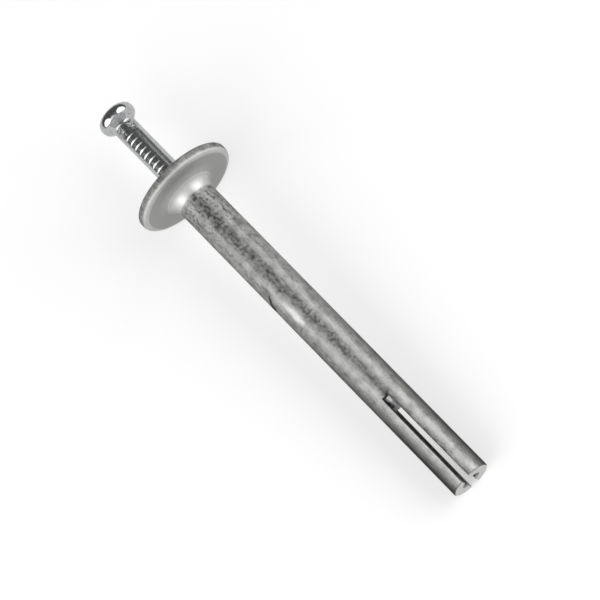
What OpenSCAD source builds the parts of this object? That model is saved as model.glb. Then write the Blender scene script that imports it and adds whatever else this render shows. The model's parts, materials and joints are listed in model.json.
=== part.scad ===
// Hammer drive anchor: a die-cast zinc body with a low mushroom flange and a slotted tip,
// and a steel drive pin that stands part way out of its bore, ready to be hammered home.
// Each piece is drawn along its own axis, with z = 0 on the flange's seating face and +Z
// towards the tip. lie_down() then lays it as it comes to rest: on the flange's rim and on
// the two leg edges beside the slot.

/* [Shank] */
// Diameter of the shank
shank_d = 6.35; // [5.6:0.05:8]
// Length of the shank under the flange
shank_l = 62.4; // [50:0.1:90]
// Bevel round the tip's outer edge
tip_bevel = 0.2; // [0.05:0.05:0.5]

/* [Flange] */
// Diameter of the flange
flange_d = 17; // [13:0.5:22]
// Height of the flange's rim
rim_h = 1.3; // [0.9:0.1:2]
// Rounding of the rim on the seating side
rim_round = 0.6; // [0.2:0.1:0.8]
// Rounding where the rim meets the dome
crown_round = 0.2; // [0.1:0.05:0.4]
// Rise of the dome above the rim
dome_h = 1.2; // [0.6:0.1:2]
// Length of the flare between flange and shank
flare_l = 2.3; // [1:0.1:3]
// How far the flare widens the shank
flare_w = 0.9; // [0.3:0.1:1.4]
// Fillet between the flare and the seating face
flare_fillet = 2.5; // [0.5:0.1:2.8]

/* [Slot] */
// Length of the slot that parts the two legs
slot_l = 17; // [8:0.5:24]
// Width of the slot at its closed end
slot_w = 1.15; // [0.6:0.05:1.8]
// How much wider the slot is at the tip, as draft for the casting core
slot_draft = 0.15; // [0:0.05:0.4]
// How far the slot lies to one side of the axis
slot_shift = 0.17; // [0:0.01:0.3]

/* [Relief] */
// Distance from the seating face to where the shank's side starts to flatten
relief_start = 21.9; // [15:0.1:30]
// Length over which the flattened side reaches its depth
relief_ramp = 3; // [1:0.5:6]
// Depth of the flattened side
relief_depth = 0.1; // [0.05:0.01:0.15]
// Radius of the flattened side, as a multiple of the shank's radius
relief_flatness = 1.4; // [1.3:0.1:2]
// Angle about the axis from the slot to the middle of the flattened side
relief_turn = 25; // [18:1:60]

/* [Bore] */
// Gap between pin and bore, on the radius
bore_gap = 0.04; // [0.02:0.01:0.08]
// Depth of the conical mouth that the pin's head seats in
mouth_depth = 0.85; // [0.4:0.05:1.2]
// Diameter of the narrow hole at the tip
tip_hole_d = 2.6; // [1.5:0.1:3]
// Bevel round the narrow hole's rim
tip_hole_bevel = 0.3; // [0.1:0.05:0.5]
// Length of the narrow hole at the tip
tip_hole_l = 2; // [1:0.1:4]

/* [Drive pin] */
// Diameter of the pin
pin_d = 3.8; // [3.5:0.05:4.2]
// How far the pin is driven from here until its head seats
pin_travel = 13.05; // [8:0.05:16]
// Diameter of the pin's head
head_d = 6.2; // [5.4:0.1:7]
// Height of the head's rim
head_rim_h = 1.15; // [1.15:0.05:2]
// Height of the slightly tapered shoulder under the rim
shoulder_h = 0.8; // [0.3:0.05:1]
// How far the shoulder draws in, on the radius
shoulder_w = 0.2; // [0.1:0.05:0.4]
// Height of the cone between shoulder and pin
head_cone_h = 0.95; // [0.8:0.05:1.6]
// Rounding of the head's upper edge
head_round = 1.1; // [0.3:0.05:1.15]
// Rise of the head's crown
head_crown = 0.2; // [0.1:0.05:0.4]
// Length of the pin's tapered point
point_l = 1.7; // [0.8:0.1:3]
// How far the point draws in, on the radius
point_w = 0.5; // [0.1:0.05:0.8]
// Bevel round the point's end
point_bevel = 0.15; // [0.1:0.05:0.6]
// Gap between the driven pin's point and the narrow hole
point_gap = 0.3; // [0.1:0.05:1]

/* [Grip marks] */
// Number of grip marks along each side of the pin
grip_count = 10; // [4:1:12]
// Spacing of the grip marks
grip_pitch = 1.04; // [0.8:0.02:1.1]
// Width of a grip mark
grip_w = 0.4; // [0.2:0.05:0.45]
// Depth of a grip mark
grip_depth = 0.1; // [0.04:0.01:0.12]
// Radius of the curve that a grip mark follows, as a multiple of the pin's radius
grip_curve = 1.3; // [1.15:0.05:1.5]
// Distance from the head's cone to the first grip mark
grip_start = 2.65; // [2:0.05:3.5]
// Angle about the axis from the slot to the middle of the grip marks
grip_turn = 15; // [0:1:90]

/* [Hidden] */
$fn = 96;

shank_r = shank_d / 2;
flange_r = flange_d / 2;
pin_r = pin_d / 2;
head_r = head_d / 2;
bore_r = pin_r + bore_gap;
over = 1; // how far a cut runs past the face that it opens

// Heights along the axis
flange_h = rim_h + dome_h;
mouth_z = mouth_depth - flange_h;
hole_z = shank_l - tip_hole_l;
slot_z = shank_l - slot_l;
cone_z = mouth_z - pin_travel;
head_z = cone_z - head_cone_h - shoulder_h;
point_z = hole_z - point_gap - pin_travel;

// The dome is part of a sphere through the rim's edge and the edge of the flat round the mouth
dome_drop = ((flange_r * flange_r - head_r * head_r) / dome_h - dome_h) / 2;
dome_r = norm([flange_r, dome_drop]);
dome_z = dome_drop - rim_h;

// The crown is a low cap on the flat between the head's rounded edges
cap_r = ((head_r - head_round) ^ 2 + head_crown ^ 2) / (2 * head_crown);
cap_z = head_z - head_rim_h - head_crown + cap_r;

// Angles at which the slot's two walls meet the shank's surface, either side of the axis
slot_w_tip = slot_w + slot_draft;
wall_a = asin((slot_w_tip / 2 + slot_shift) / shank_r);
wall_b = asin((slot_w_tip / 2 - slot_shift) / shank_r);
rest_r = shank_r * cos((wall_a + wall_b) / 2);

// At rest the floor touches the rim's rounding and both leg edges, so the axis dips by rest_tilt
tip_z = shank_l - tip_bevel;
lever_r = flange_r - rim_round - rest_r;
lever_z = tip_z + rim_round;
rest_roll = (wall_a - wall_b) / 2;
rest_tilt = atan2(lever_r, lever_z) + asin(rim_round / norm([lever_r, lever_z]));
rest_h = rest_r * cos(rest_tilt) + tip_z * sin(rest_tilt);
tip_reach = shank_l * cos(rest_tilt) + (rest_r - tip_bevel) * sin(rest_tilt);
head_reach = cap_r - cap_z * cos(rest_tilt);

function polar(r, a) = r * [cos(a), sin(a)];

// Rounds the outward corner of a flat outline whose rounding has its centre at c
module round_corner(c, r, from, to) {
    difference() {
        children();
        polygon([c, c + polar(2 * r, from), c + polar(3 * r, (from + to) / 2), c + polar(2 * r, to)]);
    }
    translate(c) circle(r);
}

module flange_outline() {
    crown_r = dome_r - crown_round;
    crown_x = flange_r - crown_round;
    crown_c = [crown_x, dome_z - sqrt(crown_r ^ 2 - crown_x ^ 2)];
    crown_a = atan2(crown_c.y - dome_z, crown_c.x);
    round_corner(crown_c, crown_round, crown_a, 0)
        round_corner([flange_r - rim_round, -rim_round], rim_round, 0, 90)
            intersection() {
                translate([0, dome_z]) circle(dome_r, $fn = 720);
                translate([0, -flange_h]) square([flange_r, flange_h]);
            }
}

// The flare is a cone that ends on the shank, with a hollow fillet at the seating face
module flare_outline() {
    slope = atan2(flare_w, flare_l);
    foot = [shank_r + flare_w, 0];
    reach = flare_fillet / tan((90 + slope) / 2);
    c = foot + [reach, flare_fillet];
    difference() {
        polygon([
            [0, 0],
            foot + [reach, 0],
            c,
            foot + polar(reach, 90 + slope),
            [shank_r, flare_l],
            [0, flare_l]
        ]);
        translate(c) circle(flare_fillet);
    }
}

module shank_outline() {
    polygon([
        [0, -rim_h],
        [shank_r, -rim_h],
        [shank_r, shank_l - tip_bevel],
        [shank_r - tip_bevel, shank_l],
        [0, shank_l]
    ]);
}

// The bore runs full size to just past the driven point, then narrows to the tip's hole
module bore() {
    slope = (head_r - shoulder_w - pin_r) / head_cone_h;
    tip_hole_r = tip_hole_d / 2;
    rotate_extrude() polygon([
        [0, -flange_h - over],
        [bore_r + (mouth_depth + over) * slope, -flange_h - over],
        [bore_r, mouth_z],
        [bore_r, hole_z],
        [tip_hole_r, hole_z],
        [tip_hole_r, shank_l - tip_hole_bevel],
        [tip_hole_r + tip_hole_bevel + over, shank_l + over],
        [0, shank_l + over]
    ]);
}

// Cast slot across the tip, with draft
module slot() {
    w = slot_w / 2;
    flare = slot_draft / 2 * over / slot_l;
    w_tip = slot_w_tip / 2 + flare;
    translate([0, -slot_shift, 0])
        rotate([0, -90, 0])
            linear_extrude(shank_d + 2 * over, center = true)
                polygon([[slot_z, -w], [slot_z, w], [shank_l + over, w_tip], [shank_l + over, -w_tip]]);
}

// What the flattened side leaves of the shank: a wider arc, reached over a short ramp
module relief() {
    side_r = shank_r * relief_flatness;
    shift = side_r - shank_r + relief_depth;
    full_z = relief_start + relief_ramp;
    length = shank_l + over - full_z;
    rotate([0, 0, 180 + relief_turn]) difference() {
        translate([0, -shank_d, relief_start]) cube([shank_d, 2 * shank_d, shank_l + over - relief_start]);
        translate([-shift, 0, full_z - over]) cylinder(r = side_r, h = length + 2 * over);
        translate([-shift, 0, relief_start])
            cylinder(r1 = side_r + relief_depth, r2 = side_r, h = relief_ramp);
    }
}

// The turned body's seam faces straight down, where the rim touches the floor
module anchor_body() {
    color("#A3A3A1") lie_down() difference() {
        rotate([0, 0, -rest_roll]) rotate_extrude() {
            flange_outline();
            flare_outline();
            shank_outline();
        }
        bore();
        slot();
        relief();
    }
}

module pin_outline() {
    rim_z = head_z - head_rim_h;
    polygon([
        [0, head_z],
        [head_r, head_z],
        [head_r - shoulder_w, head_z + shoulder_h],
        [pin_r, cone_z],
        [pin_r, point_z - point_l],
        [pin_r - point_w, point_z - point_bevel],
        [pin_r - point_w - point_bevel, point_z],
        [0, point_z]
    ]);
    round_corner([head_r - head_round, rim_z + head_round], head_round, -90, 0)
        translate([0, rim_z]) square([head_r, head_rim_h]);
    intersection() {
        translate([0, cap_z]) circle(cap_r, $fn = 720);
        translate([0, rim_z - head_crown]) square([head_r - head_round, head_crown + head_rim_h / 2]);
    }
}

// Ring-shaped teeth, set off the pin's axis so that they bite one side and fade out round it
module grip_teeth() {
    tooth_r = pin_r * grip_curve;
    excess = 1.6; // how much larger a tooth is than the mark that it cuts
    tooth = excess * [grip_depth, grip_w / 2];
    translate([pin_r - grip_depth - tooth_r, 0, cone_z + grip_start])
        rotate_extrude()
            for (i = [0 : grip_count - 1])
                translate([tooth_r, i * grip_pitch])
                    polygon([[0, 0], [tooth.x, -tooth.y], tooth]);
}

module drive_pin() {
    color("#B4B5B6") lie_down() difference() {
        rotate_extrude() pin_outline();
        for (side = [0, 180])
            rotate([0, 0, 180 + grip_turn + side]) grip_teeth();
    }
}

// Lays the axis along +X with the tip low, on the floor, centred on the origin
module lie_down() {
    translate([(head_reach - tip_reach) / 2, 0, rest_h])
        rotate([0, 90 + rest_tilt, 0])
            rotate([0, 0, rest_roll])
                children();
}

anchor_body();
drive_pin();
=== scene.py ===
"""Hammer drive anchor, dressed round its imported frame: a die-cast zinc body and a plated steel pin.

Each piece is turned in millimetres along its own axis, with z = 0 on the flange's seating face
and +z towards the slotted tip. lie_down then lays it where the frame's own anchor lies.
"""
import json
import math

import bmesh
import bpy
from mathutils import Matrix, Vector


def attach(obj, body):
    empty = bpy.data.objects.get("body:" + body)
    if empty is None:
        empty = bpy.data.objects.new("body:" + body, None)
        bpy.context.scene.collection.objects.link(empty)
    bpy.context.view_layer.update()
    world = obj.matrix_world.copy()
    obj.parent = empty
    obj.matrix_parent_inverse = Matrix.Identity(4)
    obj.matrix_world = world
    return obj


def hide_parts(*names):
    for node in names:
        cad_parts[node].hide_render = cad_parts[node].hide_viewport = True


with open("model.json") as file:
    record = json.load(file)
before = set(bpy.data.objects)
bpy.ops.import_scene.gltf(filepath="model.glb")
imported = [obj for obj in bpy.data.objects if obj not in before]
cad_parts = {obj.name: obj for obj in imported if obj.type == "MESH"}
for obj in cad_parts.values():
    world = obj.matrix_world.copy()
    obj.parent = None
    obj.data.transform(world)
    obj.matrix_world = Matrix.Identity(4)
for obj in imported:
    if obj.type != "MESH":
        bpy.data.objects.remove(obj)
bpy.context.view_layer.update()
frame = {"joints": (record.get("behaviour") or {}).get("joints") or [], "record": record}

scene = bpy.context.scene

# ---------------------------------------------------------------- sizes, in mm
MM = 0.001

# The cast body
SHANK_R = 3.175
SHANK_L = 62.4
TIP_BEVEL = 0.2
FLANGE_R = 8.5
RIM_H = 1.3
RIM_ROUND = 0.6
CROWN_ROUND = 0.2
DOME_H = 1.2
FLARE_L = 2.3
FLARE_W = 0.9
FLARE_FILLET = 2.5

SLOT_L = 17.0
SLOT_W = 1.15
SLOT_DRAFT = 0.15
SLOT_SHIFT = 0.17
SLOT_EDGE_BREAK = 0.06

RELIEF_START = 21.9
RELIEF_RAMP = 3.0
RELIEF_DEPTH = 0.1
RELIEF_FLATNESS = 1.4
RELIEF_TURN = math.radians(25)

MOUTH_DEPTH = 0.85
BORE_GAP = 0.04
TIP_HOLE_R = 1.3
TIP_HOLE_BEVEL = 0.3
TIP_HOLE_L = 2.0

# The drive pin
PIN_R = 1.9
PIN_TRAVEL = 13.05
HEAD_R = 3.1
HEAD_RIM_H = 1.15
HEAD_CONE_H = 0.95
SHOULDER_H = 0.8
SHOULDER_W = 0.2
HEAD_ROUND = 1.1
HEAD_CROWN = 0.2
SHOULDER_ROUND = 0.12
NECK_FILLET = 0.04
POINT_L = 1.7
POINT_W = 0.5
POINT_BEVEL = 0.15
POINT_GAP = 0.3

GRIP_COUNT = 10
GRIP_PITCH = 1.04
GRIP_W = 0.4
GRIP_DEPTH = 0.1
GRIP_CURVE = 1.3
GRIP_START = 2.65
GRIP_TURN = math.radians(15)

# How finely the pieces are meshed
BODY_SEGMENTS = 192
SHANK_STEP = 0.5
PIN_SEGMENTS = 128
GRIP_STEP = 0.05
CREASE = math.radians(32)  # the faces of a sharper edge aren't smoothed into each other
CLOSE = 1e-4  # a point this near to a surface lies on it

# Heights along the axis
BORE_R = PIN_R + BORE_GAP
FLANGE_H = RIM_H + DOME_H
MOUTH_Z = MOUTH_DEPTH - FLANGE_H
HOLE_Z = SHANK_L - TIP_HOLE_L
SLOT_Z = SHANK_L - SLOT_L
CONE_Z = MOUTH_Z - PIN_TRAVEL
HEAD_Z = CONE_Z - HEAD_CONE_H - SHOULDER_H
HEAD_TOP_Z = HEAD_Z - HEAD_RIM_H
POINT_Z = HOLE_Z - POINT_GAP - PIN_TRAVEL

# ---------------------------------------------------------------- where the anchor lies
mounts = {m["name"]: m for m in frame["record"]["mounts"]}
seat = Vector(mounts["seating_face"]["pos_m"])
seat.y = 0
axis = Vector(frame["joints"][0]["axis"])


def wall_y(z, side):
    """Where the slot's wall stands across the shank, on its +y side (1) or its -y side (-1)."""
    draft = SLOT_DRAFT * (z - SLOT_Z) / SLOT_L
    return side * (SLOT_W + draft) / 2 - SLOT_SHIFT


# The roll that sets both leg edges on the floor
REST_ROLL = (math.asin(-wall_y(SHANK_L, -1) / SHANK_R) - math.asin(wall_y(SHANK_L, 1) / SHANK_R)) / 2
REST_TILT = math.asin(-axis.z)

# Takes a piece from its own axis, in mm, to where the frame's anchor lies, in metres
lie_down = (
    Matrix.Translation(seat)
    @ Matrix.Rotation(math.pi / 2 + REST_TILT, 4, "Y")
    @ Matrix.Rotation(REST_ROLL, 4, "Z")
    @ Matrix.Scale(MM, 4)
)

# ---------------------------------------------------------------- shaping


def arc(centre, radius, start, stop, steps):
    """Points of an arc in a turned outline: start and stop are angles in degrees from +r towards +z."""
    angles = [math.radians(start + (stop - start) * i / steps) for i in range(steps + 1)]
    return [(centre[0] + radius * math.cos(a), centre[1] + radius * math.sin(a)) for a in angles]


def turned(outline, rounds, segments, stretch, closed):
    """Spins an outline of (r, z) points about z.

    rounds maps a point's index to how far its rounding reaches along both edges. stretch is the
    straight part that is divided along its length, as (r, lowest z, highest z, pitch).
    """
    bm = bmesh.new()
    verts = [bm.verts.new((r, 0, z)) for r, z in outline]
    for pair in zip(verts, verts[1:]):
        bm.edges.new(pair)
    if closed:
        bm.edges.new((verts[-1], verts[0]))
    for i, reach in rounds.items():
        bmesh.ops.bevel(bm, geom=[verts[i]], offset=reach, offset_type="OFFSET", segments=8,
                        profile=0.5, affect="VERTICES", material=-1)
    r, low, high, pitch = stretch
    for edge in bm.edges[:]:
        if all(abs(v.co.x - r) < CLOSE and low - CLOSE < v.co.z < high + CLOSE for v in edge.verts):
            cuts = max(round(edge.calc_length() / pitch) - 1, 0)
            bmesh.ops.subdivide_edges(bm, edges=[edge], cuts=cuts)
    bmesh.ops.spin(bm, geom=bm.verts[:] + bm.edges[:], cent=(0, 0, 0), axis=(0, 0, 1), dvec=(0, 0, 0),
                   angle=math.tau, steps=segments, use_merge=True, use_duplicate=False)
    bmesh.ops.remove_doubles(bm, verts=bm.verts, dist=1e-5)
    bmesh.ops.recalc_face_normals(bm, faces=bm.faces)
    return bm


def finish_piece(bm, name, material, body, node):
    """Lays a shaped piece in its place and lets it stand for its CAD node."""
    bm.transform(lie_down)
    for face in bm.faces:
        face.smooth = True
    for edge in bm.edges:
        edge.smooth = edge.calc_face_angle(0) < CREASE
    mesh = bpy.data.meshes.new(name)
    bm.to_mesh(mesh)
    bm.free()
    piece = bpy.data.objects.new(name, mesh)
    scene.collection.objects.link(piece)
    mesh.materials.append(material)
    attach(piece, body)
    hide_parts(node)


# ---------------------------------------------------------------- colours and nodes


def linear(hex_colour):
    """An sRGB hex colour as linear RGBA."""
    parts = [int(hex_colour[i:i + 2], 16) / 255 for i in (1, 3, 5)]
    return [c / 12.92 if c <= 0.04045 else ((c + 0.055) / 1.055) ** 2.4 for c in parts] + [1.0]


def add(tree, kind, inputs=None, **settings):
    """Adds a node with its settings. inputs maps a socket's name or number to a value or an output.

    Map Range reads 0, from the values 1 to 2, and gives the values 3 to 4, or 0 to 1 without them.
    Mix goes by 0 from colour 6 to colour 7, or from number 2 to number 3.
    """
    node = tree.nodes.new(kind)
    for key, value in settings.items():
        setattr(node, key, value)
    for key, value in (inputs or {}).items():
        if isinstance(value, bpy.types.NodeSocket):
            tree.links.new(value, node.inputs[key])
        else:
            node.inputs[key].default_value = value
    return node


def new_material(name):
    """A material without nodes, and its tree."""
    material = bpy.data.materials.new(name)
    material.use_nodes = True
    material.node_tree.nodes.clear()
    return material, material.node_tree


def along_anchor(tree):
    """Places on a piece, in mm along the anchor as it was turned."""
    place, turn, _ = lie_down.inverted().decompose()
    coords = add(tree, "ShaderNodeTexCoord")
    along = add(tree, "ShaderNodeMapping", {"Vector": coords.outputs["Object"], "Location": place,
                                            "Rotation": turn.to_euler(), "Scale": (1 / MM,) * 3})
    return along.outputs["Vector"]


def off_axis(tree, along, shift=0):
    """Distance from the anchor's axis, or from a line beside it, shifted along +x."""
    level = add(tree, "ShaderNodeMapping", {"Vector": along, "Location": (-shift, 0, 0), "Scale": (1, 1, 0)})
    return add(tree, "ShaderNodeVectorMath", {0: level.outputs[0]}, operation="LENGTH").outputs["Value"]


def spot(tree, along, angle, z, half_width, half_length, turn=0):
    """Distance from a place on the shank's surface, which is 1 all over an ellipsoid there.

    The ellipsoid lies along the shank, or turned from there by turn.
    """
    middle = (SHANK_R * math.cos(angle), SHANK_R * math.sin(angle), z)
    away = add(tree, "ShaderNodeVectorMath", {0: along, 1: middle}, operation="SUBTRACT")
    level = add(tree, "ShaderNodeMapping", {"Vector": away.outputs[0], "Rotation": (0, 0, -angle)})
    straight = add(tree, "ShaderNodeMapping", {"Vector": level.outputs[0], "Rotation": (turn, 0, 0)})
    scaled = add(tree, "ShaderNodeMapping", {"Vector": straight.outputs[0],
                                             "Scale": (1 / half_width, 1 / half_width, 1 / half_length)})
    return add(tree, "ShaderNodeVectorMath", {0: scaled.outputs[0]}, operation="LENGTH").outputs["Value"]


def shank_colour(tree, y, z, off, tone, speckle):
    """Dull grey zinc, with dark speckle, sides darkened by painted shade, and a dark line along the slot."""
    dull = add(tree, "ShaderNodeMix", {0: tone, 6: linear("#868684"), 7: linear("#B4B4B2")},
               data_type="RGBA")

    # Speckle is darkest in the first 5 mm and has nearly faded by 11 mm
    under = add(tree, "ShaderNodeMapRange", {0: z, 1: 5.0, 2: 11.0, 3: 1.0, 4: 0.15})
    deep = add(tree, "ShaderNodeMapRange", {0: speckle, 1: 0.5, 2: 0.36, 3: 0.0, 4: 0.6})
    pocked = add(tree, "ShaderNodeMath", {0: under.outputs[0], 1: deep.outputs[0]}, operation="MULTIPLY")
    speckled = add(tree, "ShaderNodeMix", {0: pocked.outputs[0], 6: dull.outputs[2], 7: linear("#484846")},
                   data_type="RGBA")

    # Painted shade: both sides are darkened, more and more from 18 to 55 mm, and wider on the flattened one
    tipward = add(tree, "ShaderNodeMapRange", {0: z, 1: 18.0, 2: 55.0})
    round_side = add(tree, "ShaderNodeMapRange", {0: y, 1: 0.65 * SHANK_R, 2: SHANK_R})
    flat_side = add(tree, "ShaderNodeMapRange", {0: y, 1: -0.3 * SHANK_R, 2: -0.9 * SHANK_R})
    sides = add(tree, "ShaderNodeMath", {0: round_side.outputs[0], 1: flat_side.outputs[0]},
                operation="MAXIMUM")
    side_shade = add(tree, "ShaderNodeMath", {0: tipward.outputs[0], 1: sides.outputs[0]}, operation="MULTIPLY")
    side_shaded = add(tree, "ShaderNodeMix", {0: side_shade.outputs[0], 6: speckled.outputs[2], 7: linear("#4A4A48")},
                  data_type="RGBA")

    # A dark line runs on the surface along the slot's +y edge, 0.3 mm wide
    slotted = add(tree, "ShaderNodeMapRange", {0: z, 1: SLOT_Z - 0.3, 2: SLOT_Z})
    on_surface = add(tree, "ShaderNodeMapRange", {0: off, 1: SHANK_R - 0.15, 2: SHANK_R - 0.05})
    beside = add(tree, "ShaderNodeMapRange", {0: y, 1: 0.45, 2: 0.75, 3: 0.75, 4: 0.0})
    past_axis = add(tree, "ShaderNodeMath", {0: y, 1: 0.0}, operation="GREATER_THAN")
    edge = add(tree, "ShaderNodeMath", {0: beside.outputs[0], 1: past_axis.outputs[0]}, operation="MULTIPLY")
    outside = add(tree, "ShaderNodeMath", {0: slotted.outputs[0], 1: on_surface.outputs[0]},
                  operation="MULTIPLY")
    slot_edge_line = add(tree, "ShaderNodeMath", {0: edge.outputs[0], 1: outside.outputs[0]}, operation="MULTIPLY")
    lined = add(tree, "ShaderNodeMix", {0: slot_edge_line.outputs[0], 6: side_shaded.outputs[2], 7: linear("#3C3C3A")},
                data_type="RGBA")
    return lined.outputs[2]


def seat_share(tree, along, z):
    """1 on the matt seating face, which is also painted darker as shade, out to the polished band that wear
    has left on the rim.
    """
    face_end = 0.62  # where the face has run up into the flare, as a brighter ring
    band_shift = 0.34  # the band is wider towards -x
    band_start = FLANGE_R - 1.0
    band_full = FLANGE_R - 0.76
    near = add(tree, "ShaderNodeMapRange", {0: z, 1: 0.95, 2: 0.6})
    above = add(tree, "ShaderNodeMath", {0: z, 1: face_end}, operation="SUBTRACT")
    away = add(tree, "ShaderNodeMath", {0: above.outputs[0]}, operation="ABSOLUTE")
    ring = add(tree, "ShaderNodeMapRange", {0: away.outputs[0], 1: 0.04, 2: 0.12, 3: 0.3, 4: 1.0})
    face = add(tree, "ShaderNodeMath", {0: near.outputs[0], 1: ring.outputs[0]}, operation="MULTIPLY")
    off = off_axis(tree, along, band_shift)
    inside = add(tree, "ShaderNodeMapRange", {0: off, 1: band_full, 2: band_start})
    share = add(tree, "ShaderNodeMath", {0: face.outputs[0], 1: inside.outputs[0]}, operation="MULTIPLY")
    return share.outputs[0]


def marked(tree, along, speckle, colour):
    """The colour with a rubbed spot where the flattened side begins, brightened as a painted highlight, and a
    dark spot and line beside it, painted as the shade of the step there.
    """
    # A rubbed spot, lightened further as a painted highlight
    rubbing = spot(tree, along, angle=math.pi + RELIEF_TURN, z=RELIEF_START + 5.1,
                   half_width=0.7, half_length=2.6)
    ragged = add(tree, "ShaderNodeMath", {0: speckle, 1: rubbing}, operation="ADD")
    rubbed = add(tree, "ShaderNodeMapRange", {0: ragged.outputs[0], 1: 1.6, 2: 0.9, 3: 0.0, 4: 0.7})
    burnished_and_highlit = add(tree, "ShaderNodeMix", {0: rubbed.outputs[0], 6: colour, 7: linear("#DCDCDA")},
                    data_type="RGBA")
    # Painted shade: a dark spot and a dark line where the flattened side steps in
    notch_shade = spot(tree, along, angle=math.pi + RELIEF_TURN * 2.7, z=RELIEF_START + 1.4,
                half_width=0.6, half_length=0.7)
    runout_shade = spot(tree, along, angle=math.pi + RELIEF_TURN * 2.2, z=RELIEF_START + 0.7,
               half_width=0.3, half_length=1.5, turn=math.radians(50))
    nearer = add(tree, "ShaderNodeMath", {0: notch_shade, 1: runout_shade}, operation="MINIMUM")
    step_shade = add(tree, "ShaderNodeMapRange", {0: nearer.outputs[0], 1: 1.3, 2: 0.5, 3: 0.0, 4: 0.85})
    step_shaded = add(tree, "ShaderNodeMix", {0: step_shade.outputs[0], 6: burnished_and_highlit.outputs[2], 7: linear("#2C2C2A")},
                 data_type="RGBA")
    return step_shaded.outputs[2]


def cast_zinc():
    """Die-cast zinc alloy, tumbled: bright at the flare and the rim, dull and speckled along the shank."""
    speckle_size = 0.5
    blotch_size = 1.429
    scuff_width = 0.3125
    scuff_length = 2.857
    material, tree = new_material("cast_zinc_tumbled")
    along = along_anchor(tree)
    place = add(tree, "ShaderNodeSeparateXYZ", {0: along})
    z = place.outputs["Z"]
    off = off_axis(tree, along)

    # Tumbling leaves speckle, wider blotches, and scuffs along the shank
    grit = add(tree, "ShaderNodeTexNoise", {"Vector": along, "Scale": 1 / speckle_size, "Detail": 3.0,
                                            "Roughness": 0.6})
    speckle = grit.outputs["Fac"]
    blotch = add(tree, "ShaderNodeTexNoise", {"Vector": along, "Scale": 1 / blotch_size, "Detail": 2.0})
    stretched = add(tree, "ShaderNodeMapping", {
        "Vector": along, "Scale": (1 / scuff_width, 1 / scuff_width, 1 / scuff_length)})
    scuff = add(tree, "ShaderNodeTexNoise", {"Vector": stretched.outputs[0], "Scale": 1.0, "Detail": 2.0})
    both = add(tree, "ShaderNodeMath", {0: scuff.outputs["Fac"], 1: 0.5, 2: speckle},
               operation="MULTIPLY_ADD")
    mottle = add(tree, "ShaderNodeMath", {0: both.outputs[0], 1: blotch.outputs["Fac"]}, operation="ADD")
    blotched = add(tree, "ShaderNodeMapRange", {0: mottle.outputs[0], 1: 0.95, 2: 1.55})
    tone = blotched.outputs[0]

    # The rim and the flare are polished by the tumbling, the rim the most; the shank stays dull
    polished = add(tree, "ShaderNodeMix", {0: tone, 6: linear("#C8C8C6"), 7: linear("#D4D4D2")},
                   data_type="RGBA")
    flare = add(tree, "ShaderNodeMapRange", {0: z, 1: 0.2, 2: 0.8, 3: 0.0, 4: 0.3})
    bright = add(tree, "ShaderNodeMix", {0: flare.outputs[0], 6: polished.outputs[2], 7: linear("#9A9A98")},
                 data_type="RGBA")
    shank = add(tree, "ShaderNodeMapRange", {0: z, 1: FLARE_L - 0.15, 2: FLARE_L + 0.15})
    dull = shank_colour(tree, place.outputs["Y"], z, off, tone, speckle)
    cast = add(tree, "ShaderNodeMix", {0: shank.outputs[0], 6: bright.outputs[2], 7: dull},
               data_type="RGBA")

    # The seating face and the ends of the legs are matt; the seating face is also painted a darker grey as
    # shade
    end = add(tree, "ShaderNodeMapRange", {0: z, 1: SHANK_L - 0.1, 2: SHANK_L - 0.02})
    flat = add(tree, "ShaderNodeMath", {0: seat_share(tree, along, z), 1: end.outputs[0]},
               operation="MAXIMUM")
    grey = add(tree, "ShaderNodeMix", {0: end.outputs[0], 6: linear("#AEAEAC"), 7: linear("#D2D2D0")},
               data_type="RGBA")
    face_shaded = add(tree, "ShaderNodeMix", {0: flat.outputs[0], 6: cast.outputs[2], 7: grey.outputs[2]},
                 data_type="RGBA")

    # The rim's outer wall keeps a dull skin, blotched by handling, and is darkened further with painted shade
    wall = add(tree, "ShaderNodeMapRange", {0: off, 1: FLANGE_R - 0.16, 2: FLANGE_R - 0.04})
    skin_and_shade = add(tree, "ShaderNodeMix", {0: tone, 6: linear("#6C6C6A"), 7: linear("#AEAEAC")},
               data_type="RGBA")
    skin_shaded = add(tree, "ShaderNodeMix", {0: wall.outputs[0], 6: face_shaded.outputs[2], 7: skin_and_shade.outputs[2]},
                  data_type="RGBA")
    colour = marked(tree, along, speckle, skin_shaded.outputs[2])

    # The speckle is partly dull and partly burnished; the flat faces and the rim's wall are matt
    pitted = add(tree, "ShaderNodeMapRange", {0: speckle, 1: 0.35, 2: 0.65, 3: 0.33, 4: 0.58})
    smooth = add(tree, "ShaderNodeMix", {0: shank.outputs[0], 2: 0.5, 3: pitted.outputs[0]})
    matt = add(tree, "ShaderNodeMath", {0: flat.outputs[0], 1: wall.outputs[0]}, operation="MAXIMUM")
    rough = add(tree, "ShaderNodeMix", {0: matt.outputs[0], 2: smooth.outputs[0], 3: 0.62})

    # The speckle stands out most on the first 4 mm, and less and less down to 14 mm
    fade = add(tree, "ShaderNodeMapRange", {0: z, 1: 4.0, 2: 14.0, 3: 1.3, 4: 0.45})
    grain = add(tree, "ShaderNodeMath", {0: both.outputs[0], 1: fade.outputs[0]}, operation="MULTIPLY")
    height = add(tree, "ShaderNodeMath", {0: grain.outputs[0], 1: shank.outputs[0]}, operation="MULTIPLY")
    bump = add(tree, "ShaderNodeBump", {"Height": height.outputs[0], "Strength": 0.6, "Distance": 0.015 * MM})
    shader = add(tree, "ShaderNodeBsdfPrincipled", {
        "Base Color": colour, "Metallic": 1.0, "Roughness": rough.outputs[0],
        "Specular Tint": (0.35, 0.35, 0.35, 1.0), "Normal": bump.outputs[0]})
    add(tree, "ShaderNodeOutputMaterial", {"Surface": shader.outputs[0]})
    return material


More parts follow.
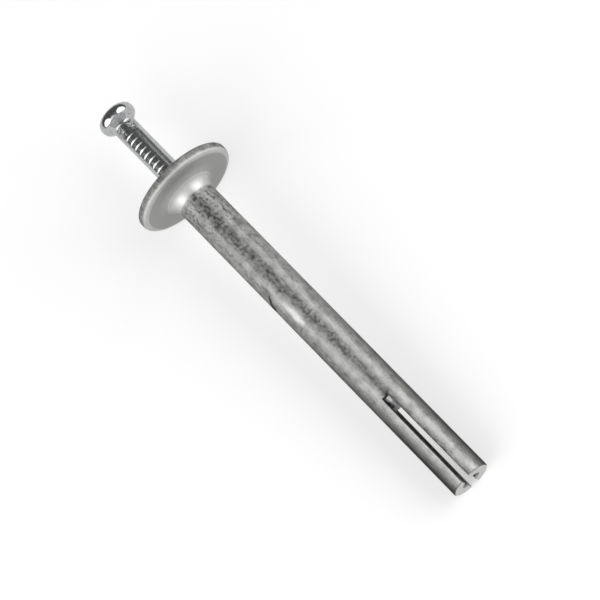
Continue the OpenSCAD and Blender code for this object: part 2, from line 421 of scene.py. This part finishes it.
def plated_steel():
    """Cold-headed steel with bright zinc plating: glossy, with fine marks from drawing and heading."""
    line_width = 0.2
    line_length = 3.333
    grain_size = 0.3333
    pit_size = 0.5556
    material, tree = new_material("zinc_plated_steel")
    along = along_anchor(tree)
    z = add(tree, "ShaderNodeSeparateXYZ", {0: along}).outputs["Z"]

    # Lines from drawing and the grain of the plating, drawn coarser than real ones so that they show
    drawn = add(tree, "ShaderNodeMapping", {
        "Vector": along, "Scale": (1 / line_width, 1 / line_width, 1 / line_length)})
    lines = add(tree, "ShaderNodeTexNoise", {"Vector": drawn.outputs[0], "Scale": 1.0, "Detail": 3.0})
    grain = add(tree, "ShaderNodeTexNoise", {"Vector": along, "Scale": 1 / grain_size, "Detail": 3.0})
    both = add(tree, "ShaderNodeMath", {0: grain.outputs["Fac"], 1: lines.outputs["Fac"]}, operation="ADD")
    tone = add(tree, "ShaderNodeMapRange", {0: both.outputs[0], 1: 0.75, 2: 1.25})
    bare = add(tree, "ShaderNodeMix", {0: tone.outputs[0], 6: linear("#9E9FA0"), 7: linear("#C0C1C2")},
               data_type="RGBA")

    # On the neck, from the cone to the first grip mark, the gripping dies left rough, dark pits
    neck_end = CONE_Z + GRIP_START
    start = add(tree, "ShaderNodeMapRange", {0: z, 1: CONE_Z - 0.1, 2: CONE_Z + 0.3})
    stop = add(tree, "ShaderNodeMapRange", {0: z, 1: neck_end, 2: neck_end - 1.0})
    neck = add(tree, "ShaderNodeMath", {0: start.outputs[0], 1: stop.outputs[0]}, operation="MULTIPLY")
    pits = add(tree, "ShaderNodeTexNoise", {"Vector": along, "Scale": 1 / pit_size, "Detail": 3.0,
                                            "Roughness": 0.7})
    pitted = add(tree, "ShaderNodeMath", {0: pits.outputs["Fac"], 1: neck.outputs[0]}, operation="MULTIPLY")
    dark = add(tree, "ShaderNodeMapRange", {0: pitted.outputs[0], 1: 0.35, 2: 0.6, 3: 0.0, 4: 0.4})
    colour = add(tree, "ShaderNodeMix", {0: dark.outputs[0], 6: bare.outputs[2], 7: linear("#6A6A6A")},
                 data_type="RGBA")
    height = add(tree, "ShaderNodeMath", {0: pitted.outputs[0], 1: -30.0, 2: both.outputs[0]},
                 operation="MULTIPLY_ADD")
    bump = add(tree, "ShaderNodeBump", {"Height": height.outputs[0], "Strength": 0.5, "Distance": 0.01 * MM})

    # The upset head is the smoothest part, and the cut end of the point the roughest
    head = add(tree, "ShaderNodeMapRange", {0: z, 1: CONE_Z - 0.3, 2: CONE_Z, 3: 0.12, 4: 0.2})
    cut = add(tree, "ShaderNodeMapRange", {0: z, 1: POINT_Z - 0.1, 2: POINT_Z - 0.05, 4: 0.3})
    rough = add(tree, "ShaderNodeMath", {0: head.outputs[0], 1: cut.outputs[0]}, operation="ADD")
    shader = add(tree, "ShaderNodeBsdfPrincipled", {
        "Base Color": colour.outputs[2], "Metallic": 1.0, "Roughness": rough.outputs[0],
        "Normal": bump.outputs[0]})
    add(tree, "ShaderNodeOutputMaterial", {"Surface": shader.outputs[0]})
    return material


def white_paper():
    """Matt white paper: half of what is seen of it is plain white, and half shows the shadows."""
    material, tree = new_material("white_paper")
    matt = add(tree, "ShaderNodeBsdfDiffuse", {"Color": linear("#FAFAFA")})
    white = add(tree, "ShaderNodeEmission", {"Strength": 1.0})
    rays = add(tree, "ShaderNodeLightPath").outputs
    direct = add(tree, "ShaderNodeMath", {0: rays["Is Camera Ray"], 1: rays["Is Glossy Ray"]},
                 operation="ADD")
    seen = add(tree, "ShaderNodeMath", {0: direct.outputs[0], 1: rays["Is Transmission Ray"]},
               operation="ADD")
    share = add(tree, "ShaderNodeMath", {0: seen.outputs[0], 1: 0.5}, operation="MULTIPLY")
    both = add(tree, "ShaderNodeMixShader", {0: share.outputs[0], 1: matt.outputs[0], 2: white.outputs[0]})
    add(tree, "ShaderNodeOutputMaterial", {"Surface": both.outputs[0]})
    return material


# ---------------------------------------------------------------- the cast body

SLOT_LOW, SLOT_HIGH = -8, 4  # the meridians that the slot's walls stand on
SLOT_BLEND = 4  # mm before the slot in which the meridians swing over to its walls


def relieved(angle, z):
    """Radius of the shank's surface, with the flattened side taken off."""
    side_r = SHANK_R * RELIEF_FLATNESS
    shift = side_r - SHANK_R + RELIEF_DEPTH
    depth = min(max((z - RELIEF_START) / RELIEF_RAMP, 0), 1)
    side_r += RELIEF_DEPTH * (1 - depth)
    off = angle - math.pi - RELIEF_TURN
    if z < RELIEF_START or math.cos(off) < 0:
        return SHANK_R
    return min(SHANK_R, -shift * math.cos(off) + math.sqrt(side_r ** 2 - (shift * math.sin(off)) ** 2))


def body_outline():
    """The body's half section, round from the mouth's edge, and its rounded corners."""
    mouth_slope = (HEAD_R - SHOULDER_W - PIN_R) / HEAD_CONE_H
    dome_drop = ((FLANGE_R ** 2 - HEAD_R ** 2) / DOME_H - DOME_H) / 2
    dome_r = math.hypot(FLANGE_R, dome_drop)
    dome_z = dome_drop - RIM_H
    dome_start = math.degrees(math.atan2(-FLANGE_H - dome_z, HEAD_R))
    dome_edge = math.degrees(math.atan2(-RIM_H - dome_z, FLANGE_R))
    dome = arc((0, dome_z), dome_r, dome_start, dome_edge, steps=24)
    outline = [(BORE_R + MOUTH_DEPTH * mouth_slope, -FLANGE_H)] + dome + [
        (FLANGE_R, 0),
        (SHANK_R + FLARE_W, 0),
        (SHANK_R, FLARE_L),
        (SHANK_R, SLOT_Z),
        (SHANK_R, SHANK_L - TIP_BEVEL),
        (SHANK_R - TIP_BEVEL, SHANK_L),
        (TIP_HOLE_R + TIP_HOLE_BEVEL, SHANK_L),
        (TIP_HOLE_R, SHANK_L - TIP_HOLE_BEVEL),
        (TIP_HOLE_R, HOLE_Z),
        (BORE_R, HOLE_Z),
        (BORE_R, SLOT_Z),
        (BORE_R, SLOT_Z - SLOT_BLEND),
        (BORE_R, MOUTH_Z),
    ]
    crown = len(dome)
    flare_turn = math.pi / 2 - math.atan2(FLARE_W, FLARE_L)
    rounds = {
        crown: CROWN_ROUND,
        crown + 1: RIM_ROUND,
        crown + 2: FLARE_FILLET * math.tan(flare_turn / 2),
    }
    return outline, rounds


def off_slot(co):
    """How far round a place lies from the middle of the nearer slot opening, in meridians."""
    sine = max(-1, min(1, co.y / math.hypot(co.x, co.y)))
    return math.degrees(math.asin(sine)) * BODY_SEGMENTS / 360


def open_slot(bm):
    """Takes out the faces where the slot runs through."""
    middles = [(face, face.calc_center_median()) for face in bm.faces]
    opened = [face for face, co in middles if co.z > SLOT_Z and SLOT_LOW < off_slot(co) < SLOT_HIGH]
    bmesh.ops.delete(bm, geom=opened, context="FACES")


def beside_slot(meridian, low, high):
    """The angle of a meridian, once the slot's walls stand at the angles low and high."""
    quarter = BODY_SEGMENTS / 4
    if meridian < SLOT_LOW:
        return -math.pi / 2 + (low + math.pi / 2) * (meridian + quarter) / (SLOT_LOW + quarter)
    if meridian > SLOT_HIGH:
        return math.pi / 2 - (math.pi / 2 - high) * (quarter - meridian) / (quarter - SLOT_HIGH)
    return low + (high - low) * (meridian - SLOT_LOW) / (SLOT_HIGH - SLOT_LOW)


def fit_surface(bm):
    """Slides the meridians beside the slot onto its walls, and presses the flattened side in."""
    for v in bm.verts:
        z = v.co.z
        r = math.hypot(v.co.x, v.co.y)
        angle = math.atan2(v.co.y, v.co.x)
        on_shank = abs(r - SHANK_R) < CLOSE and z > FLARE_L + CLOSE
        on_end = z > SHANK_L - CLOSE and r > TIP_HOLE_R + TIP_HOLE_BEVEL + CLOSE
        outer = on_shank or on_end
        swing = min(max((z - SLOT_Z) / SLOT_BLEND + 1, 0), 1)
        meridian = off_slot(v.co)
        before = math.tau * meridian / BODY_SEGMENTS
        if swing > 0 and r < SHANK_R + CLOSE:
            # Where a flat wall meets the flattened side is found in a few rounds
            for _ in range(3):
                surface = r - SHANK_R + relieved(angle, z) if outer else r
                low = math.asin(wall_y(max(z, SLOT_Z), -1) / surface)
                high = math.asin(wall_y(max(z, SLOT_Z), 1) / surface)
                after = before + (beside_slot(meridian, low, high) - before) * swing
                angle = after if v.co.x > 0 else math.pi - after
        if outer:
            r += relieved(angle, z) - SHANK_R
        v.co.x = r * math.cos(angle)
        v.co.y = r * math.sin(angle)


def close_slot(bm):
    """Closes the slot's two ends and four walls, and breaks the walls' edges."""
    for side in (-1, 1):
        end = [edge for edge in bm.edges if edge.is_boundary and edge.verts[0].co.x * side > 0
               and all(abs(v.co.z - SLOT_Z) < CLOSE for v in edge.verts)]
        bmesh.ops.bridge_loops(bm, edges=end)
    gaps = [edge for edge in bm.edges if edge.is_boundary]
    walls = bmesh.ops.holes_fill(bm, edges=gaps, sides=0)["faces"]
    bmesh.ops.recalc_face_normals(bm, faces=bm.faces)
    sharp = [edge for edge in bm.edges if any(face in walls for face in edge.link_faces)]
    bmesh.ops.bevel(bm, geom=sharp, offset=SLOT_EDGE_BREAK, offset_type="OFFSET", segments=2,
                    profile=0.5, affect="EDGES", material=-1)


def cast_body():
    """The flange, the flare, the slotted shank and the bore, as one casting."""
    outline, rounds = body_outline()
    stretch = (SHANK_R, FLARE_L, SHANK_L - TIP_BEVEL, SHANK_STEP)
    bm = turned(outline, rounds, BODY_SEGMENTS, stretch, closed=True)
    open_slot(bm)
    fit_surface(bm)
    close_slot(bm)
    return bm


# ---------------------------------------------------------------- the drive pin

GRIPS_END = CONE_Z + GRIP_START + GRIP_PITCH * GRIP_COUNT


def gripped(angle, z):
    """Radius of the pin's shank where the gripping teeth of the header bit it on two sides."""
    tooth_r = PIN_R * GRIP_CURVE
    shift = tooth_r - PIN_R + GRIP_DEPTH
    along = z - CONE_Z - GRIP_START
    mark = min(max(round(along / GRIP_PITCH), 0), GRIP_COUNT - 1)
    away = abs(along - mark * GRIP_PITCH)
    tooth_r += away * GRIP_DEPTH / (GRIP_W / 2)
    off = angle - GRIP_TURN
    return min(PIN_R, -shift * abs(math.cos(off)) + math.sqrt(tooth_r ** 2 - (shift * math.sin(off)) ** 2))


def pin_outline():
    """The pin's half section, from the middle of the crown to the point, and its rounded corners."""
    cap_r = ((HEAD_R - HEAD_ROUND) ** 2 + HEAD_CROWN ** 2) / (2 * HEAD_CROWN)
    cap_z = HEAD_TOP_Z - HEAD_CROWN + cap_r
    cap_edge = math.degrees(math.asin((HEAD_R - HEAD_ROUND) / cap_r))
    crown = arc((0, cap_z), cap_r, -90, -90 + cap_edge, steps=8)
    edge = arc((HEAD_R - HEAD_ROUND, HEAD_TOP_Z + HEAD_ROUND), HEAD_ROUND, -90, 0, steps=8)
    shoulder_r = (SHOULDER_H ** 2 + SHOULDER_W ** 2) / (2 * SHOULDER_W)
    shoulder_end = math.degrees(math.asin(SHOULDER_H / shoulder_r))
    shoulder = arc((HEAD_R - shoulder_r, HEAD_Z), shoulder_r, 0, shoulder_end, steps=6)
    head = crown + edge[1:] + shoulder
    outline = head + [
        (PIN_R, CONE_Z),
        (PIN_R, GRIPS_END),
        (PIN_R, POINT_Z - POINT_L),
        (PIN_R - POINT_W, POINT_Z - POINT_BEVEL),
        (PIN_R - POINT_W - POINT_BEVEL, POINT_Z),
        (0, POINT_Z),
    ]
    rounds = {len(head) - 1: SHOULDER_ROUND, len(head): NECK_FILLET}
    return outline, rounds


def pin():
    """The nail with its crowned head, gripped shank and tapered point."""
    outline, rounds = pin_outline()
    bm = turned(outline, rounds, PIN_SEGMENTS, (PIN_R, CONE_Z, GRIPS_END, GRIP_STEP), closed=False)
    for v in bm.verts:
        if CONE_Z < v.co.z < GRIPS_END and math.hypot(v.co.x, v.co.y) > PIN_R - CLOSE:
            angle = math.atan2(v.co.y, v.co.x)
            r = gripped(angle, v.co.z)
            if r < PIN_R:
                v.co.x = r * math.cos(angle)
                v.co.y = r * math.sin(angle)
    return bm


finish_piece(cast_body(), "cast_body", cast_zinc(), "anchor", "anchor_body")
finish_piece(pin(), "pin", plated_steel(), "pin", "drive_pin")

# ---------------------------------------------------------------- floor, light and camera

FLOOR_REACH = 3.0  # m
LIGHT_DISTANCE = 0.6  # m


def lay_floor():
    """A wide sheet of white paper under the anchor."""
    mesh = bpy.data.meshes.new("floor")
    bm = bmesh.new()
    bmesh.ops.create_grid(bm, x_segments=1, y_segments=1, size=FLOOR_REACH)
    bm.to_mesh(mesh)
    bm.free()
    mesh.materials.append(white_paper())
    floor = bpy.data.objects.new("floor", mesh)
    scene.collection.objects.link(floor)


def surround():
    """A studio that is dark overhead and behind the head, and light beyond the tip."""
    sky = bpy.data.worlds.new("studio")
    scene.world = sky
    sky.use_nodes = True
    tree = sky.node_tree
    tree.nodes.clear()
    way = add(tree, "ShaderNodeTexCoord")
    ahead = add(tree, "ShaderNodeSeparateXYZ", {0: way.outputs["Generated"]})
    fade = add(tree, "ShaderNodeMapRange", {0: ahead.outputs["X"], 1: -0.1, 2: 1.0, 3: 0.18, 4: 1.0})
    glow = add(tree, "ShaderNodeBackground", {"Strength": fade.outputs[0]})
    add(tree, "ShaderNodeOutputWorld", {"Surface": glow.outputs[0]})


def soft_box(name, turn, lean, width, length, glow):
    """An oval soft light aimed at the anchor, as bright per area as glow says.

    turn is its angle round the anchor from overhead and lean its angle from there towards the tip.
    It covers width degrees round the anchor and length degrees along it.
    """
    light = bpy.data.lights.new(name, "AREA")
    light.shape = "ELLIPSE"
    light.size = 2 * LIGHT_DISTANCE * math.tan(math.radians(width / 2))
    light.size_y = 2 * LIGHT_DISTANCE * math.tan(math.radians(length / 2))
    area = math.pi * light.size * light.size_y / 4
    light.energy = glow * math.pi * area
    box = bpy.data.objects.new(name, light)
    out = Matrix.Rotation(math.radians(-turn), 3, "X") @ Vector(
        (math.sin(math.radians(lean)), 0, math.cos(math.radians(lean))))
    across = Vector((1, 0, 0)).cross(out).normalized()
    place = Matrix((across, out.cross(across), out)).transposed().to_4x4()
    place.translation = out * LIGHT_DISTANCE
    box.matrix_world = place
    scene.collection.objects.link(box)


lay_floor()
surround()
soft_box("soft_box_right", turn=-54, lean=11, width=54, length=60, glow=2.8)
soft_box("soft_box_left", turn=54, lean=11, width=54, length=60, glow=2.8)
soft_box("soft_box_top", turn=-12, lean=20, width=32, length=28, glow=1.0)

# The camera looks down on the anchor from beyond its tip
LOOK_ANGLE = math.radians(70.74)  # between the anchor's axis and the line to the camera
LOOK_ROLL = math.radians(1.86)  # round the axis, from straight above it towards +y
VIEW_TURN = math.radians(45.57)  # of the anchor as the camera sees it, down from level
DISTANCE = 389.2 * MM
AIM = 24.85 * MM  # along the shank
SHIFT_RIGHT = 0.46 * MM
SHIFT_UP = 0.34 * MM
LENS = 159.06
SENSOR_WIDTH = 36


def aim_camera():
    """Sets the camera by its angles to the anchor's axis."""
    lift = Vector((-axis.z, 0, axis.x)) * math.cos(LOOK_ROLL) + Vector((0, 1, 0)) * math.sin(LOOK_ROLL)
    back = axis * math.cos(LOOK_ANGLE) + lift * math.sin(LOOK_ANGLE)
    along = (axis - back * axis.dot(back)).normalized()
    side = back.cross(along)
    right = along * math.cos(VIEW_TURN) + side * math.sin(VIEW_TURN)
    up = side * math.cos(VIEW_TURN) - along * math.sin(VIEW_TURN)
    camera = bpy.data.objects.new("camera", bpy.data.cameras.new("camera"))
    camera.data.sensor_width = SENSOR_WIDTH
    camera.data.lens = LENS
    camera.data.clip_start = 0.01
    place = Matrix((right, up, back)).transposed().to_4x4()
    place.translation = seat + axis * AIM + back * DISTANCE + right * SHIFT_RIGHT + up * SHIFT_UP
    camera.matrix_world = place
    scene.collection.objects.link(camera)
    scene.camera = camera


aim_camera()
scene.view_settings.view_transform = "Standard"
